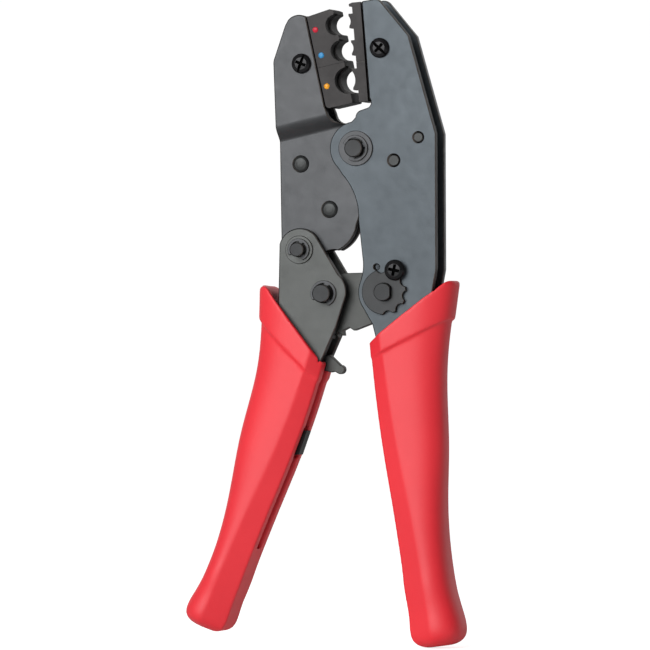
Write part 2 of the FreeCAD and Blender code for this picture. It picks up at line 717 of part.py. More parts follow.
def handle_outline():
    """The moving handle's plate, from its pivot lobe clockwise into the grip."""
    lobe = 7.5
    return [
        polar(HANDLE_PIVOT, lobe, 165), (polar(HANDLE_PIVOT, lobe, 105), polar(HANDLE_PIVOT, lobe, 38)),
        (-6.4, -44.0), ((-4.0, -47.6), (-3.7, -51.4)), (-7.3, -62.4), (-12.6, -74.2),
        (-17.8, -82.0), (-25.9, -106.0), (-37.2, -131.4), (-44.2, -128.6), (-39.6, -110.0),
        (-36.4, -95.0), (-31.8, -76.0), (-30.4, -62.0), (-28.1, -54.4),
    ]


def handle_plate():
    """The front handle plate with its holes."""
    plate = prism(handle_outline(), -FRAME_OUT, -FRAME_IN)
    holes = [
        rod(HANDLE_PIVOT, HANDLE_PIN_R, -12, 0),
        rod(TOGGLE, TOGGLE_PIN_R, -12, 0),
        rod(PAWL_PIVOT, PAWL_PIN_R, -12, 0),
        rod(SPRING_ANCHOR, POST_R, -12, 0),
        rod(PAWL_ANCHOR, PAWL_ANCHOR_R, -12, 0),
    ]
    for x, z, radius in HANDLE_RIVETS:
        holes.append(rod((x, z), radius, -12, 0))
    for hole in holes:
        plate = plate.cut(hole)
    return plate


def handle_spacer():
    """The black bracket between the handle plates, seen through the window in the grip."""
    body = prism([(-23.4, -98.0), (-26.8, -107.6), (-36.0, -107.6), (-34.4, -98.0)],
                 -FRAME_IN, FRAME_IN)
    nose = prism([(-18.9, -98.6), (-21.9, -107.0), (-27.4, -107.0), (-24.4, -98.6)], -2.8, 2.8)
    spacer = join([body, nose])
    x, z, radius = HANDLE_RIVETS[0]
    return spacer.cut(rod((x, z), radius, -10, 10))


def handle_end_spacer():
    """The block that keeps the handle plates apart near their lower end."""
    block = prism([(-34.4, -121.0), (-41.0, -121.0), (-43.0, -128.0), (-37.2, -129.6)],
                  -FRAME_IN, FRAME_IN)
    x, z, radius = HANDLE_RIVETS[1]
    return block.cut(rod((x, z), radius, -10, 10))


# Grips.

def side_curve(places):
    """A smooth curve through one side of a grip."""
    curve = Part.BSplineCurve()
    curve.interpolate([V(x, 0, z) for x, z in places])
    return curve


def section_wire(inner, outer, depth, flat, crease, scale):
    """A grip's section between two side points: flat inside, faceted front, round outside."""
    middle = (inner + outer) * 0.5
    half = (outer - inner) * 0.5
    width = half.Length
    toward = half * (1.0 / width)
    half_width = width * scale
    half_depth = depth * scale
    half_flat = flat * scale
    knee = -half_width + crease * scale

    def place(a, y):
        spot = middle + toward * a
        return point(spot.x, y, spot.z)

    arc = []
    steps = 8
    for step in range(steps + 1):
        angle = math.pi / 2 - math.pi * step / steps
        out = abs(math.cos(angle)) ** SECTION_SQUARE
        side = math.copysign(abs(math.sin(angle)) ** SECTION_SQUARE, math.sin(angle))
        arc.append(place(knee + (half_width - knee) * out, half_depth * side))
    round_side = Part.BSplineCurve()
    round_side.interpolate(arc)
    corner_back = place(-half_width, half_flat)
    corner_front = place(-half_width, -half_flat)
    return Part.Wire([
        Part.makeLine(corner_front, corner_back),
        Part.makeLine(corner_back, arc[0]),
        round_side.toShape(),
        Part.makeLine(arc[-1], corner_front),
    ])


def grip_body(outer_places, inner_places, cap_length, grow, inner_share):
    """A grip's outside as one smooth solid with a rounded butt."""
    outer_curve = side_curve(outer_places)
    inner_curve = side_curve(inner_places)
    wires = []
    for station in range(STATIONS + CAP_STEPS + 1):
        along = min(station / STATIONS, 1.0)
        outer = outer_curve.value(outer_curve.FirstParameter + along * (
            outer_curve.LastParameter - outer_curve.FirstParameter))
        inner = inner_curve.value(inner_curve.FirstParameter + along * (
            inner_curve.LastParameter - inner_curve.FirstParameter))
        across = (outer - inner).normalize()
        outer = outer + across * grow
        inner = inner - across * (grow * inner_share)
        scale = 1.0
        if station > STATIONS:
            part_way = 0.97 * (station - STATIONS) / CAP_STEPS
            down = V(across.z, 0, -across.x)
            if down.z > 0:
                down = down * -1
            outer = outer + down * (cap_length * part_way)
            inner = inner + down * (cap_length * part_way)
            scale = (1 - part_way ** CAP_POWER) ** (1 / CAP_POWER)
        depth = GRIP_DEPTH + GRIP_SWELL * (2 * along - 1) ** 2 + grow
        crease = CREASE_TOP + CREASE_GROWTH * along
        wires.append(section_wire(inner, outer, depth, INNER_FLAT + grow * 0.5, crease, scale))
    return Part.makeLoft(wires, True, False)


def side_of_line(line, side, y_half):
    """A big block on one side of a line, which trims a grip. side is 1 above and -1 below."""
    (x1, z1), (x2, z2) = line
    length = math.dist(line[0], line[1])
    ux = (x2 - x1) / length
    uz = (z2 - z1) / length
    nx, nz = (-uz, ux) if ux > 0 else (uz, -ux)
    far = 200.0 * side
    a = (x1 - ux * 100, z1 - uz * 100)
    b = (x2 + ux * 100, z2 + uz * 100)
    return prism([a, b, (b[0] + nx * far, b[1] + nz * far), (a[0] + nx * far, a[1] + nz * far)],
                 -y_half, y_half)


def shifted(line, drop):
    """A rim line moved down along the grip."""
    return [(x, z - drop) for x, z in line]


def rim_corner(rim, bulge, corner):
    """What is trimmed off above a rim's outer end, which rounds down to a corner point."""
    side = math.copysign(30.0, corner[0])
    return prism([rim[0], (bulge, corner), (corner[0] + side, corner[1]),
                  (corner[0] + side, rim[0][1] + 30), (rim[0][0], rim[0][1] + 30)], -40, 40)


def grip(outer_places, inner_places, cap_length, rim, step, bulge, corner, inner_share):
    """A grip's outside: the body, and the thicker collar between its rim and its step."""
    body = grip_body(outer_places, inner_places, cap_length, 0.0, inner_share)
    body = body.cut(side_of_line(shifted(rim, 3.0), 1, 40))
    collar = grip_body(outer_places, inner_places, cap_length, COLLAR_STEP, inner_share)
    collar = collar.cut(side_of_line(rim, 1, 40))
    collar = collar.cut(rim_corner(rim, bulge, corner))
    collar = collar.cut(side_of_line(step, -1, 40))
    whole = join([body, collar])
    return whole.cut(Part.makeBox(200, 20, 250, V(-100, REST_Y, -10)))


def grown_tang(path, grow):
    """A tang outline with a small gap all round."""
    face = outline_face(path, 0.0)
    return face.makeOffset2D(grow)


def tang_cavity(path, grow, y_half):
    """The space a tang needs inside its grip."""
    face = grown_tang(path, grow)
    face.translate(V(0, -y_half, 0))
    return face.extrude(V(0, 2 * y_half, 0))


def moving_grip():
    """The moving handle's grip, hollow for the plates, with a slot down its inner side."""
    shell = grip(MOVING_OUTER, MOVING_INNER, MOVING_CAP, MOVING_RIM, MOVING_STEP,
                 (-34.9, -48.05), (-36.7, -51.2), MOVING_INNER_SHARE)
    tang = [(-30.5, -40.0), (-3.0, -60.0), (-12.6, -74.2), (-17.8, -82.0), (-25.9, -106.0),
            (-37.2, -131.4), (-44.2, -128.6), (-39.6, -110.0), (-36.4, -95.0), (-31.8, -76.0),
            (-30.5, -62.0)]
    shell = shell.cut(tang_cavity(tang, CAVITY_GAP, FRAME_OUT + CAVITY_GAP))
    mouth = [(MOVING_MOUTH_X, -40.0), (-3.0, -60.0), (-12.6, -74.2), (-17.8, -82.0),
             (MOVING_MOUTH_X, -82.0)]
    mouth = tang_cavity(mouth, CAVITY_GAP, MOUTH_HALF)
    shell = shell.cut(mouth.common(side_of_line(shifted(MOVING_RIM, MOUTH_DEPTH), 1, 40)))
    slot = prism([(-4.0, -66.0), (-22.0, -66.0), (-43.0, -140.0), (-31.0, -140.0)],
                 -SLOT_HALF, SLOT_HALF)
    window = prism([(-12.0, -97.6), (-30.0, -97.6), (-34.0, -108.0), (-14.0, -108.0)],
                   -WINDOW_HALF, WINDOW_HALF)
    return shell.cut(slot).cut(window)


def fixed_grip():
    """The fixed handle's grip, hollow for the plates, with a short slot for the release lever."""
    shell = grip(FIXED_OUTER, FIXED_INNER, FIXED_CAP, FIXED_RIM, FIXED_STEP,
                 (34.2, -46.3), (35.6, -49.2), FIXED_INNER_SHARE)
    tang = [(1.0, -50.0), (6.4, -62.4), (8.6, -72.0), (13.9, -107.0), (19.0, -140.0),
            (27.0, -140.0), (25.3, -122.0), (25.5, -104.0), (25.6, -70.0), (27.6, -52.0),
            (30.4, -40.0), (10.0, -40.0)]
    shell = shell.cut(tang_cavity(tang, CAVITY_GAP, FRAME_OUT + CAVITY_GAP))
    mouth = [(1.0, -50.0), (6.4, -62.4), (8.6, -72.0), (FIXED_MOUTH_X, -72.0),
             (FIXED_MOUTH_X, -40.0), (10.0, -40.0)]
    mouth = tang_cavity(mouth, CAVITY_GAP, MOUTH_HALF)
    shell = shell.cut(mouth.common(side_of_line(shifted(FIXED_RIM, MOUTH_DEPTH), 1, 40)))
    slot = prism([(0.0, -50.0), (14.0, -50.0), (26.0, -137.0), (12.0, -137.0)],
                 -SLOT_HALF, SLOT_HALF)
    return shell.cut(slot)


def bushes(centre, radius, wall, near):
    """A pair of bushes that fill the space between a middle piece and two plates."""
    gap = BUSH_GAP
    front = ring(centre, radius + wall, radius, -FRAME_IN + gap, -near - gap)
    return Part.makeCompound([front, mirror_back(front)])


def main():
    os.makedirs("parts", exist_ok=True)
    lock_place = polar(ECCENTRIC, LOCK_REACH, LOCK_ANGLE_DEG)
    wheel_front = -FRAME_OUT - WHEEL_THICK
    red_place = dot_places()[2]
    blue_place = dot_places()[1]
    yellow_place = dot_places()[0]

    plate = frame_plate()
    export(plate, "front_frame_plate")
    export(mirror_back(plate), "rear_frame_plate")
    export(frame_spacer(), "frame_spacer")
    export(rivets(FRAME_RIVETS, FRAME_OUT, 0.0), "frame_rivets")
    export(tang_spacer(), "tang_spacer")
    export(rivets(TANG_RIVETS, FRAME_OUT, 0.0), "tang_rivets")
    export(fixed_grip(), "fixed_grip")
    export(fixed_die(), "fixed_die")
    export(cross_screw(FIXED_SCREW, DIE_SCREW_HEAD_R, DIE_SCREW_HEAD, DIE_SCREW_R,
                       -FRAME_OUT, FRAME_OUT, FIXED_SCREW_TURN_DEG, True), "fixed_die_screw")
    export(headed_pin((0, 0), MAIN_PIN_R, True), "main_pivot_pin")
    export(front_washer((0, 0), MAIN_WASHER_R, MAIN_PIN_R), "main_pivot_washer")
    export(retaining_clip((0, 0), MAIN_PIN_R, True, 200), "main_pivot_clip")
    export(eccentric_pin(), "eccentric_pin")
    export(eccentric_clip(), "eccentric_clip")
    export(adjuster_wheel(), "adjuster_wheel")
    export(cross_screw(lock_place, LOCK_SCREW_HEAD_R, LOCK_SCREW_HEAD, LOCK_SCREW_R,
                       wheel_front, -FRAME_IN, LOCK_SCREW_TURN_DEG, False), "adjuster_lock_screw")
    export(bushes(throw_centre(), ECCENTRIC_R, BUSH_WALLS[0], LINK_HALF), "link_bushes")

    jaw = jaw_plate()
    export(jaw, "front_jaw_plate")
    export(mirror_back(jaw), "rear_jaw_plate")
    export(jaw_spacer(), "jaw_spacer")
    export(rivets(JAW_RIVETS, JAW_LOW_IN + JAW_THICK, RIVET_DOME), "jaw_rivets")
    export(moving_die(), "moving_die")
    export(cross_screw(MOVING_SCREW, DIE_SCREW_HEAD_R, DIE_SCREW_HEAD, DIE_SCREW_R,
                       -JAW_HIGH_IN - JAW_THICK, JAW_HIGH_IN + JAW_THICK,
                       MOVING_SCREW_TURN_DEG, True), "moving_die_screw")
    export(rod(SPRING_POST, POST_R, -JAW_LOW_IN - JAW_THICK, JAW_LOW_IN + JAW_THICK),
           "spring_post")
    export(size_dot(red_place), "red_size_dot")
    export(size_dot(blue_place), "blue_size_dot")
    export(size_dot(yellow_place), "yellow_size_dot")

    plate = handle_plate()
    export(plate, "front_handle_plate")
    export(mirror_back(plate), "rear_handle_plate")
    export(handle_spacer(), "handle_spacer")
    export(handle_end_spacer(), "handle_end_spacer")
    export(rivets(HANDLE_RIVETS, FRAME_OUT, 0.0), "handle_rivets")
    export(headed_pin(HANDLE_PIVOT, HANDLE_PIN_R, True), "handle_pivot_pin")
    export(front_washer(HANDLE_PIVOT, HANDLE_WASHER_R, HANDLE_PIN_R), "handle_pivot_washer")
    export(retaining_clip(HANDLE_PIVOT, HANDLE_PIN_R, True, 250), "handle_pivot_clip")
    export(headed_pin(TOGGLE, TOGGLE_PIN_R, False), "toggle_pin")
    export(retaining_clip(TOGGLE, TOGGLE_PIN_R, False, 250), "toggle_clip")
    export(bushes(TOGGLE, TOGGLE_PIN_R, BUSH_WALLS[1], LINK_HALF), "toggle_bushes")
    export(rod(PAWL_PIVOT, PAWL_PIN_R, -FRAME_OUT, FRAME_OUT), "pawl_pin")
    export(bushes(PAWL_PIVOT, PAWL_PIN_R, BUSH_WALLS[2], PAWL_HALF), "pawl_bushes")
    export(rod(SPRING_ANCHOR, POST_R, -FRAME_OUT, FRAME_OUT), "spring_anchor_pin")
    export(rod(PAWL_ANCHOR, PAWL_ANCHOR_R, -FRAME_OUT, FRAME_OUT), "pawl_spring_anchor")
    export(coil_spring(SPRING_ANCHOR, SPRING_POST, RETURN_COIL), "return_spring")
    export(coil_spring(PAWL_ANCHOR, PAWL_HOOK, PAWL_COIL), "pawl_spring")
    export(moving_grip(), "moving_grip")

    export(ratchet_link(), "ratchet_link")
    export(ratchet_pawl(), "ratchet_pawl")


main()
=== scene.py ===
import json
import math

import bpy
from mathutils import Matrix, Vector


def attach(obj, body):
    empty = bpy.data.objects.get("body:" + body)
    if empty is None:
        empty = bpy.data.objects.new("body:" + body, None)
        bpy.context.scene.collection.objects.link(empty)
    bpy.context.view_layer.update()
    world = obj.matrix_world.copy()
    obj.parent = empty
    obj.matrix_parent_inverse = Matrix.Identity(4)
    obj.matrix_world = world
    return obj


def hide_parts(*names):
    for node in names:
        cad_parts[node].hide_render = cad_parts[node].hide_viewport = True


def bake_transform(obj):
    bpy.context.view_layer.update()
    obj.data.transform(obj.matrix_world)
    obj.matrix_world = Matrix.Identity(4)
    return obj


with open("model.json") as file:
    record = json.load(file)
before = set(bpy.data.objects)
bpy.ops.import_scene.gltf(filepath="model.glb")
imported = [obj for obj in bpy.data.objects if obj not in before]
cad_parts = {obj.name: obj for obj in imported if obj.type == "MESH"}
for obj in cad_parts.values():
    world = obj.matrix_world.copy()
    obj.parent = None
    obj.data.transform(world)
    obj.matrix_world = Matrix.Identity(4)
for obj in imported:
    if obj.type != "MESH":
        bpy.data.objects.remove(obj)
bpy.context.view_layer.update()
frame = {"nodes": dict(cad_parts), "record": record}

MM = 0.001
SCENE = bpy.context.scene

# The camera stands to the right at the tool's own height, far off with a long lens.
CAMERA_AZIMUTH = 15.0
CAMERA_DISTANCE = 2.5
VIEW_WIDTH = 0.2275
SENSOR = 36.0
LOOK_AT = (-0.0005, 0.0, 0.11235)
CLIP_START = 0.1
CLIP_END = 30.0

# One large soft box stands in front, above and to the left; the floor lies just below the tool.
KEY_PLACE = (-0.35, -1.5, 0.65)
KEY_TARGET = (0.0, 0.0, 0.11)
KEY_SIZE = (1.1, 1.1)
KEY_POWER = 24.0
FLOOR_SIZE = 12.0
FLOOR_LEVEL = -0.0002
FLOOR_GLOW = 0.75

# The world's strength by direction: a span of Y and what it adds, and a span of X and what it adds.
BEHIND_SPAN = (0.35, 0.85)
BEHIND_STRENGTH = (0.0, 0.75)
SIDE_SPAN = (0.6, -0.4)
SIDE_STRENGTH = (0.09, 0.3)

# Texture scales, in cells to the metre.
CLOUD_SCALE = 55.0
PATCH_SCALE = 260.0
BLAST_SCALE = 3200.0
RUB_SCALE = 300.0
WIRE_SCALE = 900.0
FLOW_SCALE = 38.0
SPARK_SCALE = 2600.0
ENAMEL_SCALE = 900.0
PAPER_SCALE = 6.0

# Bump depths, in metres.
CLOUD_DEPTH = 0.0001
BLAST_DEPTH = 0.00003
FLOW_DEPTH = 0.0002
SPARK_DEPTH = 0.00004

# The stretch in which most of a noise texture's values lie.
NOISE_LOW = 0.3
NOISE_HIGH = 0.7

# Colours, in linear light.
FRAME_OXIDE = (0.063, 0.073, 0.081)
JAW_OXIDE = (0.06, 0.062, 0.065)
HANDLE_OXIDE = (0.067, 0.07, 0.068)
LINK_OXIDE = (0.055, 0.057, 0.055)
WHEEL_OXIDE = (0.034, 0.035, 0.036)
DIE_OXIDE = (0.034, 0.032, 0.032)
PIN_OXIDE = (0.03, 0.031, 0.032)
RIVET_OXIDE = (0.04, 0.042, 0.042)
FASTENER_BLACK = (0.012, 0.012, 0.013)
BRACKET_BLACK = (0.01, 0.008, 0.008)
# Painted shade for the cut sides of plates and of dies.
SIDE_PAINTED_SHADE = (0.012, 0.012, 0.013)
DIE_SIDE_PAINTED_SHADE = (0.007, 0.0065, 0.0065)
# A paler colour for the dies' eased edges.
DIE_EDGE_PALE = (0.11, 0.105, 0.1)
# Painted shade for the cross and slot of the screws.
RECESS_PAINTED_SHADE = (0.002, 0.002, 0.002)
# Painted shade for edges that face left, and a painted highlight for edges that face right.
EDGE_PAINTED_SHADE = (0.004, 0.004, 0.004)
EDGE_PAINTED_HIGHLIGHT = (0.12, 0.105, 0.095)
WIRE_DARK = (0.42, 0.42, 0.43)
WIRE_PALE = (0.62, 0.62, 0.63)
GRIP_DEEP = (0.76, 0.012, 0.025)
GRIP_RED = (0.79, 0.014, 0.027)
GRIP_PALE = (0.82, 0.016, 0.029)
RED_ENAMEL = (0.5, 0.008, 0.03)
BLUE_ENAMEL = (0.035, 0.25, 0.52)
YELLOW_ENAMEL = (0.8, 0.33, 0.008)
PAPER_DEEP = (0.86, 0.86, 0.86)
PAPER_PALE = (0.89, 0.89, 0.89)

# Mesh work: the merge distance in metres, and the angles in degrees.
MERGE = 1e-6
FLAT_ANGLE = 0.4
EDGE_ANGLE = 42.0
EDGE_STEPS = 2

# A face is a wall where its normal hardly points along Y, and a base where it points squarely forward.
WALL_LIMIT = 0.1
BASE_LIMIT = -0.9999

# Within a screw's head, the recess's depth and reach as shares of the head's radius.
RECESS_DEPTH = 0.55
RECESS_REACH = 0.97

# The grips' meshes. Each collar's tall corner is an (x, z) in millimetres, softened more within its reach.
GRIP_CELL = 0.45 * MM
SOFT_FACTOR = 0.5
SOFT_PASSES = 7
RIM_PASSES = 20
RIM_GAIN = 2.0
CORNER_REACH = 9.0
MOVING_CORNER = (-21.0, 125.5)
FIXED_CORNER = (46.5, 126.5)


# Shader helpers.

def new_material(name):
    """An empty node material with its Principled shader."""
    material = bpy.data.materials.new(name)
    material.use_nodes = True
    nodes = material.node_tree.nodes
    return material, nodes, material.node_tree.links, nodes["Principled BSDF"]


def noise(nodes, links, scale, detail=4.0, roughness=0.5, stretch=None):
    """A noise value in object space, stretched along an axis where asked."""
    place = nodes.new("ShaderNodeTexCoord")
    texture = nodes.new("ShaderNodeTexNoise")
    texture.inputs["Scale"].default_value = scale
    texture.inputs["Detail"].default_value = detail
    texture.inputs["Roughness"].default_value = roughness
    if stretch:
        mapping = nodes.new("ShaderNodeMapping")
        mapping.inputs["Scale"].default_value = stretch
        links.new(place.outputs["Object"], mapping.inputs["Vector"])
        links.new(mapping.outputs["Vector"], texture.inputs["Vector"])
    else:
        links.new(place.outputs["Object"], texture.inputs["Vector"])
    return texture.outputs["Fac"]


def ramp(nodes, links, source, stops):
    """A colour ramp fed by a value; each stop is (position, colour)."""
    node = nodes.new("ShaderNodeValToRGB")
    bar = node.color_ramp
    bar.elements[0].position, bar.elements[0].color = stops[0][0], (*stops[0][1], 1)
    bar.elements[1].position, bar.elements[1].color = stops[-1][0], (*stops[-1][1], 1)
    for position, colour in stops[1:-1]:
        bar.elements.new(position).color = (*colour, 1)
    links.new(source, node.inputs["Fac"])
    return node.outputs["Color"]


def ranged(nodes, links, source, span, result):
    """A value laid from one span over another, held at both ends."""
    node = nodes.new("ShaderNodeMapRange")
    node.inputs["From Min"].default_value = span[0]
    node.inputs["From Max"].default_value = span[1]
    node.inputs["To Min"].default_value = result[0]
    node.inputs["To Max"].default_value = result[1]
    links.new(source, node.inputs["Value"])
    return node.outputs["Result"]


def spread(nodes, links, source, low, high):
    """A noise value laid over low..high."""
    return ranged(nodes, links, source, (NOISE_LOW, NOISE_HIGH), (low, high))


def bump(nodes, links, height, distance, strength, below=None):
    """A bump node in real metres, on top of another one where given."""
    node = nodes.new("ShaderNodeBump")
    node.inputs["Distance"].default_value = distance
    node.inputs["Strength"].default_value = strength
    links.new(height, node.inputs["Height"])
    if below is not None:
        links.new(below, node.inputs["Normal"])
    return node.outputs["Normal"]


def scaled(colour, factor):
    """A colour made lighter or darker."""
    return tuple(min(1.0, c * factor) for c in colour)


# Materials.

def oxide_steel(name, colour, metallic, rough, mottle=0.1, grain=0.3, shine=0.25):
    """Blackened steel: large soft clouds, small patches and a fine blasted grain."""
    material, nodes, links, shader = new_material(name)
    cloud = noise(nodes, links, CLOUD_SCALE, 6.0, 0.62)
    stops = [(NOISE_LOW, scaled(colour, 1 - mottle)), (0.5, colour), (0.72, scaled(colour, 1 + mottle))]
    links.new(ramp(nodes, links, cloud, stops), shader.inputs["Base Color"])
    patch = noise(nodes, links, PATCH_SCALE, 4.0, 0.6)
    links.new(spread(nodes, links, patch, rough - 0.04, rough + 0.04), shader.inputs["Roughness"])
    shader.inputs["Metallic"].default_value = metallic
    shader.inputs["Specular IOR Level"].default_value = shine
    coarse = bump(nodes, links, cloud, CLOUD_DEPTH, 0.12)
    fine = bump(nodes, links, noise(nodes, links, BLAST_SCALE, 2.0), BLAST_DEPTH, grain, coarse)
    links.new(fine, shader.inputs["Normal"])
    return material


def painted_light_edge(name, left, right):
    """An edge finish painted by which way it faces: painted shade on sides that face left, a painted
    highlight on sides that face right, broken up by noise.
    """
    material, nodes, links, shader = new_material(name)
    place = nodes.new("ShaderNodeTexCoord")
    parts = nodes.new("ShaderNodeSeparateXYZ")
    links.new(place.outputs["Normal"], parts.inputs["Vector"])
    rub = noise(nodes, links, RUB_SCALE, 3.0)
    facing_right = nodes.new("ShaderNodeMath")
    facing_right.operation = "MULTIPLY_ADD"
    links.new(parts.outputs["X"], facing_right.inputs[0])
    links.new(rub, facing_right.inputs[1])
    facing_right.inputs[2].default_value = 0.4
    stops = [(0.42, left), (0.7, right)]
    links.new(ramp(nodes, links, facing_right.outputs["Value"], stops), shader.inputs["Base Color"])
    links.new(spread(nodes, links, rub, 0.4, 0.5), shader.inputs["Roughness"])
    shader.inputs["Metallic"].default_value = 0.3
    shader.inputs["Specular IOR Level"].default_value = 0.08
    return material


def bright_wire(name):
    """Drawn spring wire with fine lengthwise lines."""
    material, nodes, links, shader = new_material(name)
    line = noise(nodes, links, WIRE_SCALE, 3.0, 0.5, stretch=(1.0, 1.0, 0.3))
    stops = [(NOISE_LOW, WIRE_DARK), (NOISE_HIGH, WIRE_PALE)]
    links.new(ramp(nodes, links, line, stops), shader.inputs["Base Color"])
    links.new(spread(nodes, links, line, 0.24, 0.36), shader.inputs["Roughness"])
    shader.inputs["Metallic"].default_value = 1.0
    return material


def moulded_grip(name):
    """Soft red plastic with a fine spark texture and very slight flow shading."""
    material, nodes, links, shader = new_material(name)
    flow = noise(nodes, links, FLOW_SCALE, 3.0, 0.5)
    stops = [(NOISE_LOW, GRIP_DEEP), (0.52, GRIP_RED), (0.74, GRIP_PALE)]
    links.new(ramp(nodes, links, flow, stops), shader.inputs["Base Color"])
    grain = noise(nodes, links, SPARK_SCALE, 2.0, 0.5)
    links.new(spread(nodes, links, grain, 0.5, 0.58), shader.inputs["Roughness"])
    shader.inputs["Specular IOR Level"].default_value = 0.75
    coarse = bump(nodes, links, flow, FLOW_DEPTH, 0.15)
    links.new(bump(nodes, links, grain, SPARK_DEPTH, 0.3, coarse), shader.inputs["Normal"])
    return material


def enamel(name, colour):
    """A small drop of glossy enamel, slightly uneven."""
    material, nodes, links, shader = new_material(name)
    patch = noise(nodes, links, ENAMEL_SCALE, 2.0)
    stops = [(NOISE_LOW, scaled(colour, 0.88)), (NOISE_HIGH, scaled(colour, 1.08))]
    links.new(ramp(nodes, links, patch, stops), shader.inputs["Base Color"])
    links.new(spread(nodes, links, patch, 0.3, 0.4), shader.inputs["Roughness"])
    shader.inputs["Specular IOR Level"].default_value = 0.3
    shader.inputs["Coat Weight"].default_value = 0.08
    shader.inputs["Coat Roughness"].default_value = 0.1
    return material


def floor_material():
    """Matt white paper that glows to the camera alone, so it looks as pale as what is behind it."""
    material, nodes, links, shader = new_material("floor_paper")
    cloud = noise(nodes, links, PAPER_SCALE, 3.0)
    stops = [(NOISE_LOW, PAPER_DEEP), (NOISE_HIGH, PAPER_PALE)]
    links.new(ramp(nodes, links, cloud, stops), shader.inputs["Base Color"])
    shader.inputs["Roughness"].default_value = 0.8
    shader.inputs["Specular IOR Level"].default_value = 0.0
    ray = nodes.new("ShaderNodeLightPath")
    links.new(ray.outputs["Is Camera Ray"], shader.inputs["Emission Strength"])
    shader.inputs["Emission Color"].default_value = (FLOOR_GLOW, FLOOR_GLOW, FLOOR_GLOW, 1.0)
    return material


MATERIALS = {
    "black_steel": oxide_steel("frame_oxide", FRAME_OXIDE, metallic=0.7, rough=0.42),
    "die_steel": oxide_steel("die_oxide", DIE_OXIDE, metallic=0.5, rough=0.5, mottle=0.14),
    "pin_steel": oxide_steel("pin_oxide", PIN_OXIDE, metallic=0.7, rough=0.4),
    "rivet_steel": oxide_steel("rivet_oxide", RIVET_OXIDE, metallic=0.7, rough=0.4),
    "fastener_black": oxide_steel("fastener_oxide", FASTENER_BLACK, metallic=0.5, rough=0.24,
                                  mottle=0.1, grain=0.1, shine=0.3),
    "bracket_black": oxide_steel("bracket_oxide", BRACKET_BLACK, metallic=0.3, rough=0.45),
    "spring_steel": bright_wire("spring_wire"),
    "red_grip": moulded_grip("red_moulding"),
    "red_mark": enamel("red_enamel", RED_ENAMEL),
    "blue_mark": enamel("blue_enamel", BLUE_ENAMEL),
    "yellow_mark": enamel("yellow_enamel", YELLOW_ENAMEL),
}
JAW_FINISH = oxide_steel("jaw_oxide", JAW_OXIDE, metallic=0.7, rough=0.42, mottle=0.14)
HANDLE_FINISH = oxide_steel("handle_oxide", HANDLE_OXIDE, metallic=0.7, rough=0.4, mottle=0.14)
LINK_FINISH = oxide_steel("link_oxide", LINK_OXIDE, metallic=0.7, rough=0.4, mottle=0.12)
WHEEL_FINISH = oxide_steel("wheel_oxide", WHEEL_OXIDE, metallic=0.7, rough=0.38)
# Plate edges carry painted light: painted shade where they face left, a painted highlight where they face
# right.
PLATE_EDGE = painted_light_edge("plate_edge", EDGE_PAINTED_SHADE, EDGE_PAINTED_HIGHLIGHT)
# The cut sides of plates and dies carry painted shade.
SIDE_SHADE = oxide_steel("side_painted_shade", SIDE_PAINTED_SHADE, metallic=0.3, rough=0.45, mottle=0.3, grain=0.3, shine=0.08)
DIE_SIDE_SHADE = oxide_steel("die_side_painted_shade", DIE_SIDE_PAINTED_SHADE, metallic=0.1, rough=0.5, mottle=0.3, grain=0.3, shine=0.06)
DIE_EDGE = oxide_steel("die_edge", DIE_EDGE_PALE, metallic=0.6, rough=0.34, mottle=0.3)
# Painted shade for the screws' recesses.
RECESS_SHADE = oxide_steel("recess_painted_shade", RECESS_PAINTED_SHADE, metallic=0.0, rough=0.8, mottle=0.2, grain=0.2, shine=0.03)

# The nodes whose finish isn't simply their slot's.
OWN_FINISH = {
    "front_jaw_plate": JAW_FINISH, "rear_jaw_plate": JAW_FINISH,
    "front_handle_plate": HANDLE_FINISH, "rear_handle_plate": HANDLE_FINISH,
    "ratchet_link": LINK_FINISH, "ratchet_pawl": LINK_FINISH,
    "main_pivot_washer": JAW_FINISH, "handle_pivot_washer": HANDLE_FINISH,
    "main_pivot_clip": JAW_FINISH, "handle_pivot_clip": JAW_FINISH, "toggle_clip": JAW_FINISH,
    "adjuster_wheel": WHEEL_FINISH,
}
SLOT_OF = {row["node"]: row["material_slot"] for row in frame["record"]["subparts"]}


# CAD nodes that keep their shape: a finish, and edges eased as the real ones are.

PLATES = ("front_frame_plate", "rear_frame_plate", "front_jaw_plate", "rear_jaw_plate",
          "front_handle_plate", "rear_handle_plate", "ratchet_link", "ratchet_pawl")
WALLED = ("front_frame_plate", "front_jaw_plate", "rear_jaw_plate", "front_handle_plate",
          "rear_handle_plate", "ratchet_link", "ratchet_pawl", "adjuster_wheel")
DIES = ("fixed_die", "moving_die")
# Each screw's head radius, in millimetres.
SCREWS = {"fixed_die_screw": 3.5, "moving_die_screw": 3.5, "adjuster_lock_screw": 3.65}
# The nodes with eased edges, by the width of the easing in millimetres.
EASED_BY_WIDTH = {
    0.35: ("front_jaw_plate", "rear_jaw_plate", "front_handle_plate", "rear_handle_plate"),
    0.3: ("front_frame_plate", "rear_frame_plate"),
    0.25: ("ratchet_pawl",),
    0.2: ("adjuster_wheel", "ratchet_link"),
    0.15: ("main_pivot_washer", "handle_pivot_washer", "frame_rivets", "fixed_die", "moving_die"),
    0.12: ("eccentric_pin", "main_pivot_pin", "handle_pivot_pin", "toggle_pin",
           "main_pivot_clip", "handle_pivot_clip", "toggle_clip"),
}
EASED = {node: width for width, nodes in EASED_BY_WIDTH.items() for node in nodes}


def added(piece, finish):
    """Gives a piece one more material, and says which number it has there."""
    piece.data.materials.append(finish)
    return len(piece.data.materials) - 1


def welded(piece):
    """Joins the corners that the CAD faces share."""
    weld = piece.modifiers.new("weld", "WELD")
    weld.merge_threshold = MERGE


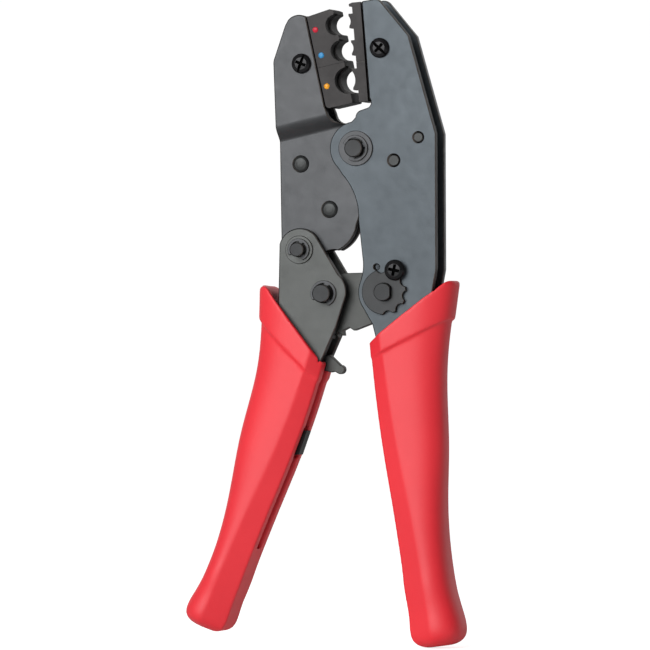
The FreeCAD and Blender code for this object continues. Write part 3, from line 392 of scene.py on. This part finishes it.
def eased(piece, width, edge, clamp):
    """Rounds a piece's sharp edges, in a finish of their own."""
    welded(piece)
    flat = piece.modifiers.new("flat", "DECIMATE")
    flat.decimate_type = "DISSOLVE"
    flat.angle_limit = math.radians(FLAT_ANGLE)
    bevel = piece.modifiers.new("ease", "BEVEL")
    bevel.width = width
    bevel.segments = EDGE_STEPS
    bevel.limit_method = "ANGLE"
    bevel.angle_limit = math.radians(EDGE_ANGLE)
    bevel.use_clamp_overlap = clamp
    bevel.loop_slide = False
    bevel.material = added(piece, edge)
    smooth = piece.modifiers.new("normals", "WEIGHTED_NORMAL")
    smooth.keep_sharp = True


def is_wall(face):
    """Whether a face is one of a flat piece's cut sides."""
    return abs(face.normal.y) < WALL_LIMIT


def shade_painted_walls(piece, finish):
    """Paints shade onto the cut sides of a plate or die: a darker black in a material of their own."""
    number = added(piece, finish)
    for face in piece.data.polygons:
        if is_wall(face):
            face.material_index = number


def shade_painted_recess(piece, head_radius):
    """Paints shade into a screw's cross and slot, whose walls and floors are cut square: a near black where
    shade falls in them.
    """
    number = added(piece, RECESS_SHADE)
    lowest = min(vertex.co.y for vertex in piece.data.vertices)
    across = [vertex.co.x for vertex in piece.data.vertices]
    along = [vertex.co.z for vertex in piece.data.vertices]
    middle = ((min(across) + max(across)) / 2, (min(along) + max(along)) / 2)
    for face in piece.data.polygons:
        place = face.center
        away = math.hypot(place.x - middle[0], place.z - middle[1])
        in_head = place.y < lowest + head_radius * MM * RECESS_DEPTH
        wall = is_wall(face) and away < head_radius * MM * RECESS_REACH
        base = face.normal.y < BASE_LIMIT
        if in_head and (wall or base):
            face.material_index = number


# A plate's easing isn't clamped, since the ring grooves round its rivets would shrink it to nothing.
for node, piece in frame["nodes"].items():
    piece.data.materials.clear()
    piece.data.materials.append(OWN_FINISH.get(node, MATERIALS[SLOT_OF[node]]))
    # Screws get painted shade in their recesses.
    if node in SCREWS:
        shade_painted_recess(piece, SCREWS[node])
    # Dies and walled pieces get painted shade on their cut sides.
    if node in DIES:
        shade_painted_walls(piece, DIE_SIDE_SHADE)
    if node in WALLED:
        shade_painted_walls(piece, SIDE_SHADE)
    if node in EASED:
        # Plate edges are painted with light and shade by which way they face.
        edge = DIE_EDGE if node in DIES else PLATE_EDGE
        eased(piece, EASED[node] * MM, edge, clamp=node not in PLATES)


# The grips, as mouldings with softened rims, lips and creases.

def softened(piece, name, passes, group=""):
    """Relaxes a mesh, all of it or one vertex group."""
    soften = piece.modifiers.new(name, "SMOOTH")
    soften.factor = SOFT_FACTOR
    soften.iterations = passes
    soften.vertex_group = group


def settled(piece):
    """The mesh with its modifiers worked in."""
    bpy.context.view_layer.update()
    seen = piece.evaluated_get(bpy.context.evaluated_depsgraph_get())
    mesh = bpy.data.meshes.new_from_object(seen)
    piece.modifiers.clear()
    piece.data = mesh
    return mesh


def moulding(node, body, corner, reach):
    """One grip with every edge softened as a mould leaves it, most at its collar's tall corner."""
    source = frame["nodes"][node]
    piece = bpy.data.objects.new(node.replace("grip", "moulding"), source.data.copy())
    SCENE.collection.objects.link(piece)
    welded(piece)
    cells = piece.modifiers.new("cells", "REMESH")
    cells.mode = "VOXEL"
    cells.voxel_size = GRIP_CELL
    cells.use_smooth_shade = True
    mesh = settled(piece)
    rim = piece.vertex_groups.new(name="rim")
    for vertex in mesh.vertices:
        place = vertex.co
        away = math.hypot(place.x - corner[0] * MM, place.z - corner[1] * MM)
        weight = 1.0 - away / (reach * MM)
        if weight > 0.0:
            rim.add([vertex.index], min(1.0, weight * RIM_GAIN), "REPLACE")
    softened(piece, "soften", SOFT_PASSES)
    softened(piece, "soften_rim", RIM_PASSES, "rim")
    mesh = settled(piece)
    mesh.materials.clear()
    mesh.materials.append(MATERIALS["red_grip"])
    for face in mesh.polygons:
        face.use_smooth = True
    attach(piece, body)
    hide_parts(node)
    return piece


moulding("moving_grip", "moving_handle", MOVING_CORNER, CORNER_REACH)
moulding("fixed_grip", "frame", FIXED_CORNER, CORNER_REACH)


# The springs, each as a plain copy of its coil.

def hooked_spring(node, name):
    """A copy of a coil that stands in its place, with the coil itself hidden."""
    piece = bpy.data.objects.new(name, frame["nodes"][node].data.copy())
    SCENE.collection.objects.link(piece)
    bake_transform(piece)
    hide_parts(node)
    return piece


hooked_spring("return_spring", "return_coil")
hooked_spring("pawl_spring", "pawl_coil")


# Lights, floor and camera.

def area_light(name, place, target, size, power):
    """A soft box that faces a point."""
    data = bpy.data.lights.new(name, "AREA")
    data.shape = "RECTANGLE"
    data.size, data.size_y = size
    data.energy = power
    light = bpy.data.objects.new(name, data)
    SCENE.collection.objects.link(light)
    light.location = place
    light.rotation_euler = (Vector(target) - Vector(place)).to_track_quat("-Z", "Y").to_euler()
    return light


def studio_world():
    """Bright behind the tool, dimmer to its right than to its left, and white wherever the camera sees it."""
    world = bpy.data.worlds.new("studio")
    world.use_nodes = True
    nodes = world.node_tree.nodes
    links = world.node_tree.links
    place = nodes.new("ShaderNodeTexCoord")
    parts = nodes.new("ShaderNodeSeparateXYZ")
    links.new(place.outputs["Generated"], parts.inputs["Vector"])
    both = nodes.new("ShaderNodeMath")
    both.operation = "ADD"
    links.new(ranged(nodes, links, parts.outputs["Y"], BEHIND_SPAN, BEHIND_STRENGTH), both.inputs[0])
    links.new(ranged(nodes, links, parts.outputs["X"], SIDE_SPAN, SIDE_STRENGTH), both.inputs[1])
    ray = nodes.new("ShaderNodeLightPath")
    seen = nodes.new("ShaderNodeMath")
    seen.operation = "MAXIMUM"
    links.new(both.outputs["Value"], seen.inputs[0])
    links.new(ray.outputs["Is Camera Ray"], seen.inputs[1])
    background = nodes["Background"]
    background.inputs["Color"].default_value = (1.0, 1.0, 1.0, 1.0)
    links.new(seen.outputs["Value"], background.inputs["Strength"])
    SCENE.world = world


def studio():
    """A pale floor, the world's light and one soft box."""
    bpy.ops.mesh.primitive_plane_add(size=FLOOR_SIZE, location=(0.0, 0.0, FLOOR_LEVEL))
    floor = bpy.context.object
    floor.name = "floor"
    floor.data.materials.append(floor_material())
    studio_world()
    area_light("key", KEY_PLACE, KEY_TARGET, KEY_SIZE, KEY_POWER)
    SCENE.view_settings.view_transform = "Standard"


def camera():
    """A long lens at the viewing angle."""
    data = bpy.data.cameras.new("camera")
    data.sensor_width = SENSOR
    data.lens = SENSOR * CAMERA_DISTANCE / VIEW_WIDTH
    data.clip_start = CLIP_START
    data.clip_end = CLIP_END
    eye = bpy.data.objects.new("camera", data)
    SCENE.collection.objects.link(eye)
    angle = math.radians(CAMERA_AZIMUTH)
    away = Vector((math.sin(angle), -math.cos(angle), 0.0))
    eye.location = Vector(LOOK_AT) + away * CAMERA_DISTANCE
    eye.rotation_euler = (-away).to_track_quat("-Z", "Y").to_euler()
    SCENE.camera = eye


studio()
camera()
